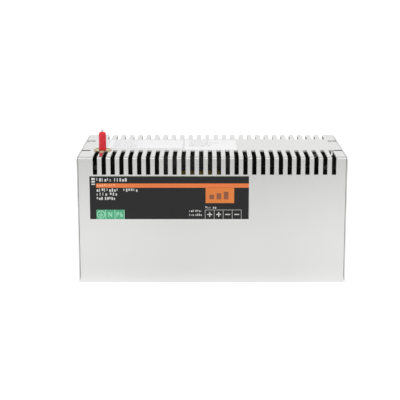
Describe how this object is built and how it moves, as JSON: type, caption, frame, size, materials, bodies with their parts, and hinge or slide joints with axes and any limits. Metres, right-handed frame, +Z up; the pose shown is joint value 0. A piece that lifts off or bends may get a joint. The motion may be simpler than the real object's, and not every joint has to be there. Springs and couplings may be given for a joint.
{
  "type": "din rail power supply",
  "caption": "Long vented sheet metal power supply for a 35 mm rail, with terminal strips under the front edge and sprung rail latches behind.",
  "frame": {"origin": "centre of the bounding box, on the plane of the base", "axes": "+X to the right seen from the front, +Y towards the rail behind, +Z up"},
  "size_m": [0.23, 0.1292, 0.1287],
  "materials": {
    "cover_sheet": "silver grey satin lacquer",
    "end_sheet": "silver grey satin lacquer",
    "chassis_sheet": "zinc plated, satin",
    "fasteners": "zinc plated",
    "front_label": "black printed film with an orange stripe and green cells",
    "tag_label": "orange paper tag",
    "sticker": "white paper with faint print",
    "brass": "dull brass",
    "red_plastic": "glossy red",
    "steel": "bright",
    "foot_plastic": "black glass-filled plastic",
    "latch_steel": "zinc plated",
    "spring_steel": "bright spring steel",
    "strip_plastic": "black moulded",
    "contact_brass": "bright",
    "board": "brown laminate with tinned pads",
    "trimmer_case": "blue moulded",
    "trimmer_white": "white moulded",
    "core_ferrite": "dark grey sintered",
    "bobbin_plastic": "black moulded",
    "copper": "enamelled copper wire",
    "yellow_tape": "yellow polyester tape",
    "choke_paint": "yellow coated iron powder",
    "sleeve_black": "black sleeve",
    "sleeve_blue": "blue sleeve",
    "can_aluminium": "satin",
    "film_box": "yellow box",
    "sink_aluminium": "black anodised",
    "liner_film": "black insulating film",
    "epoxy": "black epoxy",
    "fuse_glass": "clear",
    "wire_pvc": "PVC insulated wire"
  },
  "bodies": {
    "case": {"cover": "cover_sheet", "end_plate_left": "end_sheet", "end_plate_right": "end_sheet", "chassis": "chassis_sheet", "cover_screws": "fasteners", "front_label": "front_label", "tag_label": "tag_label", "top_sticker_left": "sticker", "top_sticker_right": "sticker", "post_base": "brass", "rail_foot_left": "foot_plastic", "rail_foot_right": "foot_plastic", "latch_spring_left": "spring_steel", "latch_spring_right": "spring_steel", "foot_screws": "fasteners", "input_block": "strip_plastic", "output_block": "strip_plastic", "input_contacts": "contact_brass", "output_contacts": "contact_brass", "block_screws": "fasteners", "trimmer_board": "board", "trimmer_body": "trimmer_case", "main_board": "board", "board_spacers": "fasteners", "inner_screws": "fasteners", "liner": "liner_film", "transformer_core": "core_ferrite", "transformer_bobbin": "bobbin_plastic", "transformer_winding": "copper", "transformer_tape": "yellow_tape", "choke_cores": "choke_paint", "choke_windings": "copper", "bulk_capacitors": "sleeve_black", "output_capacitors": "sleeve_blue", "capacitor_lids": "can_aluminium", "suppression_capacitors": "film_box", "heatsinks": "sink_aluminium", "power_devices": "epoxy", "fuse_tube": "fuse_glass", "fuse_fittings": "steel", "wiring": "wire_pvc"},
    "input_clamp_1": {"input_clamp_1": "steel"},
    "input_screw_1": {"input_screw_1": "fasteners"},
    "input_clamp_2": {"input_clamp_2": "steel"},
    "input_screw_2": {"input_screw_2": "fasteners"},
    "input_clamp_3": {"input_clamp_3": "steel"},
    "input_screw_3": {"input_screw_3": "fasteners"},
    "output_clamp_1": {"output_clamp_1": "steel"},
    "output_screw_1": {"output_screw_1": "fasteners"},
    "output_clamp_2": {"output_clamp_2": "steel"},
    "output_screw_2": {"output_screw_2": "fasteners"},
    "output_clamp_3": {"output_clamp_3": "steel"},
    "output_screw_3": {"output_screw_3": "fasteners"},
    "output_clamp_4": {"output_clamp_4": "steel"},
    "output_screw_4": {"output_screw_4": "fasteners"},
    "latch_left": {"rail_latch_left": "latch_steel"},
    "latch_right": {"rail_latch_right": "latch_steel"},
    "cap": {"post_cap": "red_plastic", "cap_pin": "steel"},
    "trimmer": {"trimmer_rotor": "trimmer_white"}
  },
  "joints": [
    {"name": "input_clamp_travel_1", "type": "slide", "parent": "case", "child": "input_clamp_1", "axis": [0, 0, -1], "range_m": [0, 0.0024]},
    {"name": "input_screw_turn_1", "type": "hinge", "parent": "input_clamp_1", "child": "input_screw_1", "pos_m": [-0.09485, -0.05285, 0.0078], "axis": [0, 0, -1], "range_deg": [0, 1440]},
    {"name": "input_clamp_travel_2", "type": "slide", "parent": "case", "child": "input_clamp_2", "axis": [0, 0, -1], "range_m": [0, 0.0024]},
    {"name": "input_screw_turn_2", "type": "hinge", "parent": "input_clamp_2", "child": "input_screw_2", "pos_m": [-0.0866, -0.05285, 0.0078], "axis": [0, 0, -1], "range_deg": [0, 1440]},
    {"name": "input_clamp_travel_3", "type": "slide", "parent": "case", "child": "input_clamp_3", "axis": [0, 0, -1], "range_m": [0, 0.0024]},
    {"name": "input_screw_turn_3", "type": "hinge", "parent": "input_clamp_3", "child": "input_screw_3", "pos_m": [-0.07835, -0.05285, 0.0078], "axis": [0, 0, -1], "range_deg": [0, 1440]},
    {"name": "output_clamp_travel_1", "type": "slide", "parent": "case", "child": "output_clamp_1", "axis": [0, 0, -1], "range_m": [0, 0.0024]},
    {"name": "output_screw_turn_1", "type": "hinge", "parent": "output_clamp_1", "child": "output_screw_1", "pos_m": [-0.00173, -0.05285, 0.0078], "axis": [0, 0, -1], "range_deg": [0, 1440]},
    {"name": "output_clamp_travel_2", "type": "slide", "parent": "case", "child": "output_clamp_2", "axis": [0, 0, -1], "range_m": [0, 0.0024]},
    {"name": "output_screw_turn_2", "type": "hinge", "parent": "output_clamp_2", "child": "output_screw_2", "pos_m": [0.00589, -0.05285, 0.0078], "axis": [0, 0, -1], "range_deg": [0, 1440]},
    {"name": "output_clamp_travel_3", "type": "slide", "parent": "case", "child": "output_clamp_3", "axis": [0, 0, -1], "range_m": [0, 0.0024]},
    {"name": "output_screw_turn_3", "type": "hinge", "parent": "output_clamp_3", "child": "output_screw_3", "pos_m": [0.01351, -0.05285, 0.0078], "axis": [0, 0, -1], "range_deg": [0, 1440]},
    {"name": "output_clamp_travel_4", "type": "slide", "parent": "case", "child": "output_clamp_4", "axis": [0, 0, -1], "range_m": [0, 0.0024]},
    {"name": "output_screw_turn_4", "type": "hinge", "parent": "output_clamp_4", "child": "output_screw_4", "pos_m": [0.02113, -0.05285, 0.0078], "axis": [0, 0, -1], "range_deg": [0, 1440]},
    {"name": "latch_release_left", "type": "slide", "parent": "case", "child": "latch_left", "axis": [0, 0, -1], "range_m": [0, 0.004], "stiffness_N_per_m": 900, "springref_m": -0.003, "deforming": ["latch_spring_left"]},
    {"name": "latch_release_right", "type": "slide", "parent": "case", "child": "latch_right", "axis": [0, 0, -1], "range_m": [0, 0.004], "stiffness_N_per_m": 900, "springref_m": -0.003, "deforming": ["latch_spring_right"]},
    {"name": "cap_lift", "type": "slide", "parent": "case", "child": "cap", "axis": [0, 0, 1], "range_m": [0, 0.004]},
    {"name": "trimmer_turn", "type": "hinge", "parent": "case", "child": "trimmer", "pos_m": [-0.0133, -0.05085, 0.003], "axis": [0, 0, -1], "range_deg": [-135, 135]}
  ],
  "couplings": [
    {"joint": "input_screw_turn_1", "follows": "input_clamp_travel_1", "rad_per_m": 10472},
    {"joint": "input_screw_turn_2", "follows": "input_clamp_travel_2", "rad_per_m": 10472},
    {"joint": "input_screw_turn_3", "follows": "input_clamp_travel_3", "rad_per_m": 10472},
    {"joint": "output_screw_turn_1", "follows": "output_clamp_travel_1", "rad_per_m": 10472},
    {"joint": "output_screw_turn_2", "follows": "output_clamp_travel_2", "rad_per_m": 10472},
    {"joint": "output_screw_turn_3", "follows": "output_clamp_travel_3", "rad_per_m": 10472},
    {"joint": "output_screw_turn_4", "follows": "output_clamp_travel_4", "rad_per_m": 10472}
  ]
}
